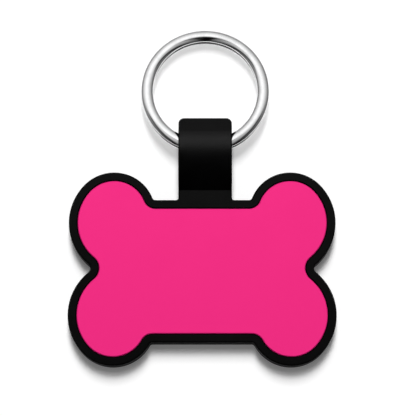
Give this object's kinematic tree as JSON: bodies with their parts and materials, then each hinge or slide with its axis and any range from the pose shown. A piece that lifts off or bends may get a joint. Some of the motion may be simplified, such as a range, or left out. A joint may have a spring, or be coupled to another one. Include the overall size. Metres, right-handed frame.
{
  "type": "pet id tag",
  "caption": "Bone-shaped pet id tag: a black moulded rubber holder with a strap loop, a plain pink plate set flush in its front, and a split ring that swings in the loop.",
  "frame": {"origin": "under the middle of the whole tag, ring included, on the table it lies on", "axes": "+X across the tag to the right of its face, +Y from the bone towards the ring, +Z out of the plate's face"},
  "size_m": [0.041, 0.053, 0.0053],
  "materials": {
    "black_rubber": "smooth moulded, low sheen",
    "pink_plate": "satin pink anodised",
    "adhesive_film": "translucent adhesive",
    "ring_steel": "polished plated steel"
  },
  "bodies": {
    "tag": {"holder": "black_rubber", "face_plate": "pink_plate", "bond_film": "adhesive_film"},
    "ring": {"split_ring": "ring_steel"}
  },
  "joints": [
    {"name": "ring_swing", "type": "hinge", "parent": "tag", "child": "ring", "pos_m": [0.00045, 0.00793, 0.00256], "axis": [1, 0, 0], "range_deg": [-141, 168]}
  ]
}
